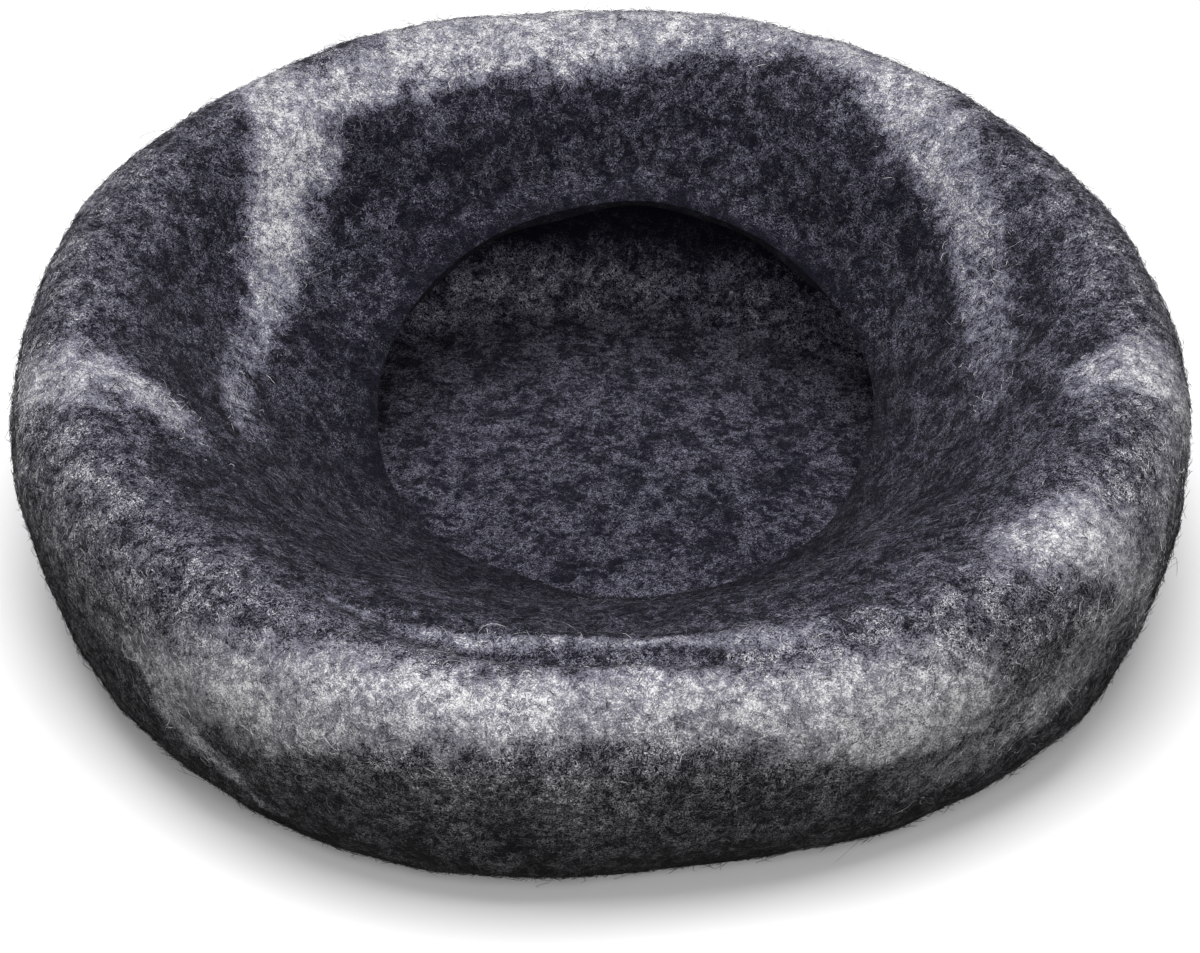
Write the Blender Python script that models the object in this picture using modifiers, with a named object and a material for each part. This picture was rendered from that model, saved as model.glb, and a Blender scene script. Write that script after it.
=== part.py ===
"""Seamless wool-felt cat cave with its dome pressed down into itself, which makes a round bed.

One felt shell runs from the flat base, up the bulging wall, over the rolled rim and down into the
bowl, where it ends at the round entrance. Metres, +Z up, and -Y is the low front of the rim.
"""

import math
from collections import namedtuple

import bmesh
import bpy
import numpy as np

# Driving dimensions
HALF_WIDTH = 0.295
FRONT_REACH = 0.259
BACK_REACH = 0.275
FRONT_HEIGHT = 0.128
SIDE_HEIGHT = 0.165
BACK_HEIGHT = 0.195
FELT_THICKNESS = 0.007
LIP_ROUNDING = 0.0024
LIP_SEGMENTS = 2
LIP_LEAST_ANGLE = math.radians(50)
COLUMNS = 72
WELD_DISTANCE = 0.00001
LEAST_LENGTH = 1e-12
NORMAL_STEP = 0.01
TURN = 2 * math.pi

COLLECTION = "felt_cat_cave"
FELT_COLOUR = (0.085, 0.085, 0.095, 1.0)
FELT_ROUGHNESS = 0.95

# A row for each level cross-section of the shell, from the middle of the base to the entrance.
# The reaches are shares of the three reaches above, the heights of the three heights. "aside" is
# how far the section sits to the right, in metres, and "rows" how many rows of faces follow it.
Section = namedtuple("Section", "name across front back z_front z_side z_back aside rows")
SECTIONS = (
    Section("base_centre", 0.0, 0.0, 0.0, 0.0, 0.0, 0.0, 0.0, 3),
    Section("base_middle", 0.45, 0.45, 0.45, 0.0, 0.0, 0.0, 0.0, 2),
    Section("base_edge", 0.78, 0.80, 0.78, 0.0, 0.0, 0.0, 0.0, 2),
    Section("heel_low", 0.850, 0.870, 0.850, 0.025, 0.025, 0.020, 0.0, 2),
    Section("heel_high", 0.918, 0.935, 0.915, 0.125, 0.110, 0.090, 0.0, 2),
    Section("wall_low", 0.964, 0.972, 0.957, 0.28, 0.25, 0.21, 0.0, 2),
    Section("belly", 0.992, 0.994, 0.985, 0.51, 0.49, 0.44, 0.0, 2),
    Section("belly_high", 1.000, 0.996, 1.000, 0.73, 0.73, 0.69, 0.0, 2),
    Section("rim_outer", 0.968, 0.950, 0.972, 0.92, 0.92, 0.90, 0.0, 3),
    Section("rim_crest", 0.893, 0.870, 0.900, 1.00, 1.00, 1.00, 0.0, 5),
    Section("rim_inner", 0.790, 0.765, 0.802, 0.955, 0.94, 0.945, 0.0, 3),
    Section("bowl_high", 0.695, 0.600, 0.742, 0.840, 0.775, 0.830, 0.0, 3),
    Section("bowl_low", 0.590, 0.445, 0.712, 0.610, 0.57, 0.715, 0.003, 2),
    Section("bowl_foot", 0.505, 0.300, 0.690, 0.330, 0.44, 0.645, 0.008, 2),
    Section("opening_edge", 0.442, 0.150, 0.640, 0.160, 0.365, 0.612, 0.015, 0),
)

# The plan is a little oval and three-cornered: how far its corners stand out, and where one is.
# Angles are in degrees from +X towards the back.
Corners = namedtuple("Corners", "count angle outward")
CORNERS = (
    Corners(2, -71, 0.0013),
    Corners(3, -16, 0.0030),
)

# Where the wall stands out or draws in besides.
Swell = namedtuple("Swell", "name angle spread outward")
SWELLS = (
    Swell("front_left", -110, 15, 0.004),
    Swell("front_middle", -80, 14, -0.004),
    Swell("right_front", -30, 15, 0.004),
    Swell("right", -6, 16, -0.002),
    Swell("back_right", 34, 16, 0.003),
    Swell("left_front", -146, 20, -0.005),
)
# How much of this each section takes. The others take none.
OUTLINE_SHARE = {
    "heel_low": 0.5,
    "heel_high": 0.9,
    "wall_low": 1.0,
    "belly": 1.0,
    "belly_high": 1.0,
    "rim_outer": 0.9,
    "rim_crest": 0.7,
    "rim_inner": 0.3,
}

# The crease pressed along the inside of the front roll: how far past the crest it runs, in
# sections, and how deep it is at each angle.
CreasePoint = namedtuple("CreasePoint", "angle past_crest depth")
CREASE = (
    CreasePoint(-126, 0.85, 0.0),
    CreasePoint(-114, 0.80, 0.0030),
    CreasePoint(-102, 0.72, 0.0060),
    CreasePoint(-88, 0.50, 0.0070),
    CreasePoint(-76, 0.12, 0.0050),
    CreasePoint(-62, -0.10, 0.0),
)
CREASE_SPREAD = 0.26
RIDGE_BEHIND = 0.62
RIDGE_SHARE = 0.45

# The slow unevenness of hand-felted wool: waves around, waves along the profile, phase, size.
Wave = namedtuple("Wave", "around along phase size")
WAVES = (
    Wave(4, 1.1, 0.4, 0.0012),
    Wave(7, -1.7, 2.1, 0.0009),
    Wave(11, 2.3, 4.0, 0.0006),
)

SECTION_NAMES = [section.name for section in SECTIONS]
CREST = SECTION_NAMES.index("rim_crest")
HEEL = SECTION_NAMES.index("heel_low")


def spline(values, place):
    """Reads a table's column at a place between its rows, on a smooth curve through them."""
    values = np.asarray(values, float)
    last = len(values) - 1
    row = np.clip(np.floor(place).astype(int), 0, last - 1)
    part = place - row
    before, start = values[np.maximum(row - 1, 0)], values[row]
    end, after = values[row + 1], values[np.minimum(row + 2, last)]
    return 0.5 * (
        2 * start
        + (end - before) * part
        + (2 * before - 5 * start + 4 * end - after) * part**2
        + (3 * start - before - 3 * end + after) * part**3
    )


def hump(distance, spread):
    return np.exp(-((distance / spread) ** 2))


def angle_between(angle, degrees):
    """The angle from a direction in degrees to each angle, in degrees, from -180 to 180."""
    return (np.degrees(angle) - degrees + 180) % 360 - 180


def column(name, place):
    return spline([getattr(section, name) for section in SECTIONS], place)


def outline_unevenness(angle, place):
    """How far the outline stands out from its sections' even curves."""
    share = spline([OUTLINE_SHARE.get(name, 0.0) for name in SECTION_NAMES], place)
    corners = sum(
        row.outward * np.cos(row.count * (angle - math.radians(row.angle)))
        for row in CORNERS
    )
    swells = sum(
        swell.outward * hump(angle_between(angle, swell.angle), swell.spread)
        for swell in SWELLS
    )
    return share * (corners + swells)


def crease_drop(angle, place):
    """How far the crease and the ridge behind it lower the felt."""
    around = angle_between(angle, 0)
    marks = [point.angle for point in CREASE]
    centre = CREST + np.interp(around, marks, [point.past_crest for point in CREASE])
    depth = np.interp(around, marks, [point.depth for point in CREASE])
    trough = hump(place - centre, CREASE_SPREAD)
    ridge = hump(place - centre - RIDGE_BEHIND, CREASE_SPREAD)
    return depth * (trough - RIDGE_SHARE * ridge)


def formed(angle, place):
    """The felt's seen face: a point for each angle around and each place along the profile."""
    sine, cosine = np.sin(angle), np.cos(angle)
    front = column("front", place) * FRONT_REACH
    back = column("back", place) * BACK_REACH
    z_front = column("z_front", place) * FRONT_HEIGHT
    z_side = column("z_side", place) * SIDE_HEIGHT
    z_back = column("z_back", place) * BACK_HEIGHT
    outward = outline_unevenness(angle, place)
    x = column("aside", place) + (column("across", place) * HALF_WIDTH + outward) * cosine
    y = (back - front) / 2 + ((back + front) / 2 + outward) * sine
    z = z_side + (z_back - z_front) / 2 * sine + ((z_back + z_front) / 2 - z_side) * sine**2
    height = np.maximum(z - crease_drop(angle, place), 0.0)
    return np.stack([x, y, height], axis=-1)


def uneven(angle, place):
    fade = np.clip(place - HEEL, 0, 1)
    return fade * sum(
        wave.size * np.sin(wave.around * angle + wave.along * place + wave.phase)
        for wave in WAVES
    )


def felt_points(angle, place):
    """The formed face moved along its own normal by the unevenness."""
    around = formed(angle + NORMAL_STEP, place) - formed(angle - NORMAL_STEP, place)
    along = formed(angle, place + NORMAL_STEP) - formed(angle, place - NORMAL_STEP)
    normal = np.cross(around, along)
    normal /= np.maximum(np.linalg.norm(normal, axis=-1, keepdims=True), LEAST_LENGTH)
    return formed(angle, place) + normal * uneven(angle, place)[..., None]


def row_places():
    """The place along the profile of each row of points."""
    places = [
        index + step / section.rows
        for index, section in enumerate(SECTIONS)
        for step in range(section.rows)
    ]
    return places + [len(SECTIONS) - 1]


def felt_material():
    material = bpy.data.materials.new("charcoal_wool_felt")
    material.use_nodes = True
    shader = material.node_tree.nodes["Principled BSDF"]
    shader.inputs["Base Color"].default_value = FELT_COLOUR
    shader.inputs["Roughness"].default_value = FELT_ROUGHNESS
    shader.inputs["Metallic"].default_value = 0.0
    return material


def felt_mesh():
    """A flat grid rolled round the sections. Its first row closes at the middle of the base."""
    places = row_places()
    shaped = bmesh.new()
    bmesh.ops.create_grid(shaped, x_segments=COLUMNS, y_segments=len(places) - 1, size=0.5)
    flat = np.array([vertex.co for vertex in shaped.verts])
    angle = (flat[:, 0] + 0.5) * TURN
    row = np.rint((flat[:, 1] + 0.5) * (len(places) - 1)).astype(int)
    points = felt_points(angle, np.array(places)[row])
    for vertex, point in zip(shaped.verts, points):
        vertex.co = point
    bmesh.ops.remove_doubles(shaped, verts=shaped.verts, dist=WELD_DISTANCE)
    mesh = bpy.data.meshes.new("felt_shell")
    shaped.to_mesh(mesh)
    shaped.free()
    mesh.shade_smooth()
    return mesh


def felt_shell(collection):
    shell = bpy.data.objects.new("felt_shell", felt_mesh())
    shell.data.materials.append(felt_material())
    collection.objects.link(shell)
    thickness = shell.modifiers.new("Felt thickness", "SOLIDIFY")
    thickness.thickness = FELT_THICKNESS
    thickness.offset = -1.0
    thickness.use_even_offset = True
    rounding = shell.modifiers.new("Rounded lip", "BEVEL")
    rounding.width = LIP_ROUNDING
    rounding.segments = LIP_SEGMENTS
    rounding.limit_method = "ANGLE"
    rounding.angle_limit = LIP_LEAST_ANGLE
    return shell


def main():
    for obj in list(bpy.data.objects):
        bpy.data.objects.remove(obj, do_unlink=True)
    collection = bpy.data.collections.new(COLLECTION)
    bpy.context.scene.collection.children.link(collection)
    felt_shell(collection)


main()
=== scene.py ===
"""Seamless wool-felt cat cave, pressed down into itself to make a round bed, on a pale floor.

The felt's seen face comes from the same table of level sections as the solid that it stands for,
on a finer grid, and carries short fuzz. An angle goes round from +X towards the high back, +Y. A
place runs along the felt's profile, counted in sections from the middle of the base to the edge of
the opening.
"""

import math
from collections import namedtuple

import bpy
import numpy as np
from bpy.props import FloatProperty, FloatVectorProperty, IntProperty, PointerProperty
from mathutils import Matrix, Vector


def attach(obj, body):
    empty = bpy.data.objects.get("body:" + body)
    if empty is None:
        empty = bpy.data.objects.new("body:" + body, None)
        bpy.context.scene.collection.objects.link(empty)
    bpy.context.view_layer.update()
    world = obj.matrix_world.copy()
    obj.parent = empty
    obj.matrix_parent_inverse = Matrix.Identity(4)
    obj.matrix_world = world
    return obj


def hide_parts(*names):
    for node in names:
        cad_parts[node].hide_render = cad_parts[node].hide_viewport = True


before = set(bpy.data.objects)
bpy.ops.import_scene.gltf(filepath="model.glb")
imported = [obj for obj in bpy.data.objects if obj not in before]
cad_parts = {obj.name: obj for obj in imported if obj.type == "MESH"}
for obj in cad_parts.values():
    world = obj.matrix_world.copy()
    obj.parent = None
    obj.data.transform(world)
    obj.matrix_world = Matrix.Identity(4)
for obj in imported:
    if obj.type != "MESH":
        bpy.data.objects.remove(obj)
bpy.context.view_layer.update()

bl_info = {
    "name": "Felt cat cave",
    "version": (1, 0, 0),
    "blender": (4, 5, 0),
    "location": "View3D > Sidebar > Cat cave",
    "description": "Makes a wool-felt cat cave pressed down into a round bed",
    "category": "Add Mesh",
}

TURN = 2 * math.pi

# The shell's main sizes, in metres
HALF_WIDTH = 0.295
FRONT_REACH = 0.259
BACK_REACH = 0.275
FRONT_HEIGHT = 0.128
SIDE_HEIGHT = 0.165
BACK_HEIGHT = 0.195

# A row for each level cross-section of the shell, from the middle of the base to the entrance.
# The reaches are shares of the three reaches above, the heights of the three heights. "aside" is
# how far the section sits to the right, in metres, and "rows" how many rows of faces follow it.
Section = namedtuple("Section", "name across front back z_front z_side z_back aside rows")
SECTIONS = (
    Section("base_centre", 0.0, 0.0, 0.0, 0.0, 0.0, 0.0, 0.0, 4),
    Section("base_middle", 0.45, 0.45, 0.45, 0.0, 0.0, 0.0, 0.0, 6),
    Section("base_edge", 0.78, 0.80, 0.78, 0.0, 0.0, 0.0, 0.0, 4),
    Section("heel_low", 0.850, 0.870, 0.850, 0.025, 0.025, 0.020, 0.0, 5),
    Section("heel_high", 0.918, 0.935, 0.915, 0.125, 0.110, 0.090, 0.0, 6),
    Section("wall_low", 0.964, 0.972, 0.957, 0.28, 0.25, 0.21, 0.0, 9),
    Section("belly", 0.992, 0.994, 0.985, 0.51, 0.49, 0.44, 0.0, 9),
    Section("belly_high", 1.000, 0.996, 1.000, 0.73, 0.73, 0.69, 0.0, 9),
    Section("rim_outer", 0.968, 0.950, 0.972, 0.92, 0.92, 0.90, 0.0, 9),
    Section("rim_crest", 0.893, 0.870, 0.900, 1.00, 1.00, 1.00, 0.0, 15),
    Section("rim_inner", 0.790, 0.765, 0.802, 0.955, 0.94, 0.945, 0.0, 12),
    Section("bowl_high", 0.695, 0.600, 0.742, 0.840, 0.775, 0.830, 0.0, 11),
    Section("bowl_low", 0.590, 0.445, 0.712, 0.610, 0.57, 0.715, 0.003, 9),
    Section("bowl_foot", 0.505, 0.300, 0.690, 0.330, 0.44, 0.645, 0.008, 8),
    Section("opening_edge", 0.442, 0.150, 0.640, 0.160, 0.365, 0.612, 0.015, 0),
)
SECTION_NAMES = [section.name for section in SECTIONS]
BASE_EDGE = SECTION_NAMES.index("base_edge")
HEEL = SECTION_NAMES.index("heel_low")
CREST = SECTION_NAMES.index("rim_crest")
LAST = len(SECTIONS) - 1
COLUMNS = 300
WELD_DISTANCE = 0.00001
NORMAL_STEP = 0.01
LEAST_LENGTH = 1e-12

# The plan is a little oval and three-cornered: how far its corners stand out, and where one is.
Corners = namedtuple("Corners", "count angle outward")
CORNERS = (
    Corners(2, -71, 0.0013),
    Corners(3, -16, 0.0030),
)

# Where the wall stands out or draws in besides, and how much of it each section takes.
Swell = namedtuple("Swell", "name angle spread outward")
SWELLS = (
    Swell("front_left", -110, 15, 0.004),
    Swell("front_middle", -80, 14, -0.004),
    Swell("right_front", -30, 15, 0.004),
    Swell("right", -6, 16, -0.002),
    Swell("back_right", 34, 16, 0.003),
    Swell("left_front", -146, 20, -0.005),
)
OUTLINE_SHARE = {
    "heel_low": 0.5,
    "heel_high": 0.9,
    "wall_low": 1.0,
    "belly": 1.0,
    "belly_high": 1.0,
    "rim_outer": 0.9,
    "rim_crest": 0.7,
    "rim_inner": 0.3,
}

# The crease pressed along the inside of the front roll: how far past the crest it runs, in
# sections, and how deep it is at each angle.
CreasePoint = namedtuple("CreasePoint", "angle past_crest depth")
CREASE = (
    CreasePoint(-126, 0.85, 0.0),
    CreasePoint(-114, 0.80, 0.0030),
    CreasePoint(-102, 0.72, 0.0060),
    CreasePoint(-88, 0.50, 0.0070),
    CreasePoint(-76, 0.12, 0.0050),
    CreasePoint(-62, -0.10, 0.0),
)
CREASE_SPREAD = 0.26
RIDGE_BEHIND = 0.62
RIDGE_SHARE = 0.45

# The unevenness of hand-felted wool: waves around, waves along the profile, phase and size.
Wave = namedtuple("Wave", "around along phase size")
WAVES = (
    Wave(4, 1.1, 0.4, 0.0012),
    Wave(7, -1.7, 2.1, 0.0009),
    Wave(11, 2.3, 4.0, 0.0006),
)
# The small lumps that the solid leaves out
LUMPS = (
    Wave(23, 3.1, 1.3, 0.0003),
    Wave(31, -4.3, 0.2, 0.0003),
    Wave(43, 5.2, 5.1, 0.0002),
)
# They die out over so many sections before the opening, so that its edge stays even.
LUMPS_END = 0.7

# The pale streaks laid into the charcoal wool. A row is a point on a streak's middle line: its
# angle and place, how far the streak reaches to each side of it, in metres, and how pale it is
# there. A strength below nought takes pale wool away, and along the front trough paints its shade.
StreakPoint = namedtuple("StreakPoint", "angle place half_width strength")
STREAKS = {
    "front_band": (
        (-138, 6.6, 0.012, 0.60),
        (-132, 6.65, 0.020, 0.95),
        (-124.5, 7.1, 0.026, 1.0),
        (-118, 7.6, 0.026, 1.0),
        (-112, 7.95, 0.022, 1.0),
        (-105, 8.15, 0.0185, 0.93),
        (-98, 8.25, 0.0180, 0.85),
        (-91, 8.25, 0.0175, 0.85),
        (-84, 8.2, 0.0175, 0.88),
        (-76.5, 7.95, 0.0195, 0.95),
        (-71, 7.7, 0.026, 1.0),
        (-65.5, 7.4, 0.029, 1.0),
        (-60.5, 7.1, 0.029, 1.0),
        (-56, 6.85, 0.026, 0.90),
        (-52.5, 6.5, 0.016, 0.65),
        (-49, 6.2, 0.011, 0.35),
    ),
    "front_left_foot": (
        (-137, 6.8, 0.009, 0.6),
        (-134.5, 6.1, 0.009, 0.85),
        (-131.5, 5.7, 0.009, 0.85),
        (-128, 5.45, 0.008, 0.8),
        (-125.5, 5.2, 0.006, 0.5),
    ),
    "front_left_spot": (
        (-124.5, 4.9, 0.005, 0.45),
        (-122, 4.7, 0.004, 0.35),
    ),
    "front_ridge": (
        (-121, 9.85, 0.004, 0.29),
        (-111, 9.95, 0.004, 0.43),
        (-103, 9.97, 0.004, 0.50),
        (-94, 10.07, 0.0045, 0.54),
        (-85, 9.97, 0.0045, 0.50),
        (-79, 9.75, 0.005, 0.40),
        (-73, 9.5, 0.010, 0.36),
        (-66, 9.25, 0.010, 0.32),
    ),
    "right_low_band": (
        (-44, 8.9, 0.012, 0.45),
        (-40, 8.8, 0.018, 0.80),
        (-35.8, 8.47, 0.020, 1.00),
        (-34.2, 7.98, 0.019, 1.00),
        (-32.2, 7.23, 0.016, 0.90),
        (-28, 6.4, 0.012, 0.60),
        (-27, 5.7, 0.010, 0.40),
    ),
    "right_patch": (
        (-11.5, 9.9, 0.010, 0.20),
        (-10.5, 9.3, 0.016, 0.66),
        (-9.5, 8.7, 0.019, 0.95),
        (-9.5, 8.1, 0.018, 0.95),
        (-10, 7.5, 0.016, 0.75),
        (-10, 6.6, 0.014, 0.55),
    ),
    "right_low_dusting": (
        (-12, 7.6, 0.016, 0.45),
        (-22, 7.5, 0.018, 0.32),
        (-33, 6.8, 0.017, 0.52),
        (-42, 6.0, 0.018, 0.50),
        (-50, 5.75, 0.020, 0.42),
        (-58, 5.6, 0.018, 0.28),
    ),
    "back_band": (
        (133, 10.0, 0.020, 0.95),
        (127, 9.9, 0.015, 0.90),
        (121, 9.85, 0.014, 0.90),
        (112, 9.55, 0.023, 0.95),
        (98, 9.45, 0.026, 1.0),
        (89, 9.45, 0.025, 1.0),
        (84, 9.3, 0.022, 0.92),
        (79, 9.15, 0.019, 0.85),
        (74, 9.05, 0.017, 0.80),
        (66, 9.0, 0.016, 0.78),
        (59, 9.0, 0.015, 0.78),
        (51, 9.3, 0.018, 0.78),
    ),
    "back_left_branch": (
        (131, 7.4, 0.011, 0.45),
        (132, 8.4, 0.015, 0.80),
        (132.5, 9.2, 0.017, 0.90),
        (133, 9.9, 0.020, 0.95),
        (137, 10.5, 0.022, 0.95),
        (143, 10.95, 0.018, 0.92),
        (151, 11.4, 0.015, 0.88),
        (159, 11.7, 0.013, 0.80),
        (168, 11.75, 0.0110, 0.52),
        (178, 11.65, 0.010, 0.42),
        (-173, 11.65, 0.010, 0.42),
        (-166, 11.75, 0.008, 0.30),
    ),
    "back_right_branch": (
        (51, 9.3, 0.018, 0.78),
        (46, 9.75, 0.018, 0.80),
        (38.5, 10.1, 0.019, 0.68),
        (30.5, 10.45, 0.017, 0.60),
        (21, 10.80, 0.016, 0.50),
        (11, 11.05, 0.016, 0.42),
        (1, 11.15, 0.014, 0.34),
        (-11, 11.1, 0.012, 0.24),
    ),
    "left_band": (
        (-174, 7.0, 0.010, 0.25),
        (-173, 7.8, 0.014, 0.55),
        (-170.5, 8.4, 0.016, 0.74),
        (-169, 9.0, 0.018, 0.82),
        (-169, 9.65, 0.015, 0.83),
        (-167.5, 10.0, 0.014, 0.78),
        (-165.5, 10.3, 0.013, 0.74),
        (-163, 10.6, 0.011, 0.66),
        (-160, 10.75, 0.010, 0.45),
        (-154, 10.9, 0.008, 0.15),
    ),
    "wall_back_left": (
        (158, 8.1, 0.012, 0.6),
        (146, 6.9, 0.015, 0.8),
        (130, 6.0, 0.014, 0.75),
        (112, 5.6, 0.010, 0.4),
    ),
    "wall_back_right": (
        (30, 8.0, 0.012, 0.6),
        (44, 7.1, 0.016, 0.85),
        (62, 6.4, 0.015, 0.8),
        (84, 6.1, 0.011, 0.45),
    ),
    # Painted shade: takes pale wool out along the crease of the front roll.
    "front_trough_shade": (
        (-100, 9.62, 0.0030, -0.30),
        (-94, 9.72, 0.0042, -0.75),
        (-88, 9.66, 0.0048, -0.85),
        (-81, 9.36, 0.0048, -0.85),
        (-75, 9.09, 0.0045, -0.75),
        (-70, 8.93, 0.0040, -0.55),
        (-65, 8.83, 0.0030, -0.20),
    ),
}
# A streak is full up to the first of these shares of its half width, and gone at the second.
STREAK_FULL, STREAK_GONE = 0.25, 1.75
# The streaks' ragged edges: how many waves make them, how often these go up and down in one turn,
# the most radians that they run through in one metre of the profile, their share of a streak's
# half width, and the seed.
Raggedness = namedtuple("Raggedness", "waves least_around most_around most_along share seed")
RAGGEDNESS = Raggedness(28, 6, 90, 260.0, 0.15, 11)

# How light the single hairs in the charcoal wool are at each section.
# Its low values at the foot of the wall and at the opening's edge are painted shade; those in the
# bowl are partly deeper charcoal wool and partly painted shade.
HAIR_AND_SHADE_SHARE = (
    0.60, 0.60, 0.60, 0.18, 0.20, 0.34, 0.60, 0.96, 1.10, 0.90, 0.44, 0.31, 0.33, 0.30, 0.12,
)
# The same for the hidden face, of which the opening shows the base and the foot of the wall.
# Its high values at the heel are painted light, and the low ones above them painted shadow under
# the opening's lip.
HAIR_LIGHT_AND_SHADE_INSIDE = (
    0.36, 0.38, 0.46, 0.74, 0.84, 0.14, 0.0, 0.0, 0.2, 0.5, 0.6, 0.5, 0.4, 0.2, 0.1,
)
# A painted shadow on the hidden face of the wall: the angle of its middle, how wide it spreads, and
# how much hair it takes.
InsidePaintedShadow = namedtuple("InsidePaintedShadow", "angle spread share")
INSIDE_PAINTED_SHADOW = InsidePaintedShadow(-5, 48, 0.75)
# Neutral low on the wall, and bluish from the rim on and inside.
COOL_SHARE = (
    1.0, 1.0, 1.0, 0.3, 0.1, 0.1, 0.1, 0.25, 0.6, 0.8, 0.9, 1.0, 1.0, 1.0, 1.0,
)

# The tone at which the wool is slate, between charcoal at nought and pale at one
SLATE_TONE = 0.30
# The nets of single hairs: how fine each is, and how wide its lines are.
HairNet = namedtuple("HairNet", "scale width")
HAIR_NETS = (HairNet(330.0, 0.044), HairNet(470.0, 0.055), HairNet(650.0, 0.067))
# How fine the wool's noises are: the higher, the finer.
TINT_SCALE = 26.0
LOCK_SCALE = 75.0
BLOT_SCALE = 95.0
DRIFT_SCALE = 150.0
CLOT_SCALE = 190.0
PATCH_SCALE = 230.0
BEND_SCALE = 300.0
FINE_SCALE = 1100.0
# How far the bending noise moves a hair, in metres, and how flat the drifts lie along the profile
BEND_REACH = 0.009
DRIFT_FLATNESS = 0.30
# How much the ragged edge of the pale wool takes from each noise
BLOT_SHARE, DRIFT_SHARE, FINE_SHARE, CLOT_SHARE = 0.46, 0.22, 0.46, 0.20
# How much locks and clots add to the tufts
LOCK_WEIGHT, CLOT_WEIGHT = 0.6, 0.4

# Each field of fuzz lies between two places along the profile.
FuzzField = namedtuple("FuzzField", "name low high")
FUZZ_FIELDS = (
    FuzzField("fuzz_wall_low", 3.35, 6.4),
    FuzzField("fuzz_wall_high", 6.4, 8.5),
    FuzzField("fuzz_rim", 8.5, 10.6),
    FuzzField("fuzz_bowl", 10.6, 13.95),
)
# What a field holds: how many of each fibre, how many points its line has, its usual length and
# thickness, how far it stands off the felt, in metres, and how much it turns at each point.
Fibre = namedtuple("Fibre", "name count stations length thickness lift curl")
FIBRES = (
    Fibre("short", 14500, 3, 0.0042, 0.00026, 0.0006, 1.2),
    Fibre("long", 8000, 4, 0.0068, 0.00024, 0.0009, 1.1),
    Fibre("stray", 300, 8, 0.0160, 0.00016, 0.0024, 0.55),
)
# How the fibres vary: the spread of the logarithm of their length, the range of their thickness,
# and how far they head off the profile's direction, at the root and at each further point.
LENGTH_SPREAD = 0.35
THICKNESS_RANGE = (0.7, 1.3)
HEADING_SPREAD = 1.5
HEADING_JITTER = 0.25
# Some fibres stand up and are lifted more. The others are highest near their middle, and their
# tips come up by a share of the lift. No lift is more than its share of the length.
STANDING_SHARE = 0.18
STANDING_LIFT = 3.0
LIFT_RANGE = (0.35, 1.4)
MOST_LIFT = 0.6
TIP_RANGE = (0.1, 0.9)
# How deep the roots sit, the lowest that a fibre lies over the floor, both in metres, and how far
# short of the opening's edge it stays, in sections
ROOT_DEPTH = 0.0003
LEAST_HEIGHT = 0.0005
LAST_ROOM = 0.01
FIBRE_SIDES = 3
# The cells among which the fibres are scattered: how many along a field and how many around.
CELL_ROWS = 60
CELL_TURNS = 180
# How light the fibres are. Most on charcoal wool are dark, which the power sets.
CHARCOAL_MOST = 0.68
CHARCOAL_POWER = 2.9
PALE_RANGE = (0.45, 0.92)
PALE_FIBRES = 0.8

# How finely the profile's length is measured: steps in a section, and degrees between profiles
LENGTH_STEPS = 20
LENGTH_DEGREES = 15

# The rounded lip
LIP_SEGMENTS = 5
LIP_LEAST_ANGLE = math.radians(50)

# Where the camera and the lamps look, and how wide the picture is there, in metres
TARGET = Vector((0.002, -0.014, 0.0785))
VIEW_WIDTH = 0.606673
# The soft round lamps: where each hangs, how wide it is, and the setting that holds its power
Lamp = namedtuple("Lamp", "name place width power")
LAMPS = (
    Lamp("overhead_lamp", (-0.06, -0.12, 1.9), 1.6, "lamp_power"),
    Lamp("front_lamp", (0.15, -1.7, 1.3), 1.2, "front_power"),
)
WHITE = (1.0, 1.0, 1.0, 1.0)


def spline(values, place):
    """Reads a table's column at a place between its rows, on a smooth curve through them."""
    values = np.asarray(values, float)
    last = len(values) - 1
    row = np.clip(np.floor(place).astype(int), 0, last - 1)
    part = place - row
    before, start = values[np.maximum(row - 1, 0)], values[row]
    end, after = values[row + 1], values[np.minimum(row + 2, last)]
    return 0.5 * (
        2 * start
        + (end - before) * part
        + (2 * before - 5 * start + 4 * end - after) * part**2
        + (3 * start - before - 3 * end + after) * part**3
    )


def hump(distance, spread):
    return np.exp(-((distance / spread) ** 2))


def angle_between(angle, degrees):
    """The angle from a direction in degrees to each angle, in degrees, from -180 to 180."""
    return (np.degrees(angle) - degrees + 180) % 360 - 180


def column(name, place):
    return spline([getattr(section, name) for section in SECTIONS], place)


def outline_unevenness(angle, place):
    """How far the outline stands out from its sections' even curves."""
    share = spline([OUTLINE_SHARE.get(name, 0.0) for name in SECTION_NAMES], place)
    corners = sum(
        row.outward * np.cos(row.count * (angle - math.radians(row.angle)))
        for row in CORNERS
    )
    swells = sum(
        swell.outward * hump(angle_between(angle, swell.angle), swell.spread)
        for swell in SWELLS
    )
    return share * (corners + swells)


def crease_drop(angle, place):
    """How far the crease and the ridge behind it lower the felt."""
    around = angle_between(angle, 0)
    marks = [point.angle for point in CREASE]
    centre = CREST + np.interp(around, marks, [point.past_crest for point in CREASE])
    depth = np.interp(around, marks, [point.depth for point in CREASE])
    trough = hump(place - centre, CREASE_SPREAD)
    ridge = hump(place - centre - RIDGE_BEHIND, CREASE_SPREAD)
    return depth * (trough - RIDGE_SHARE * ridge)


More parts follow.
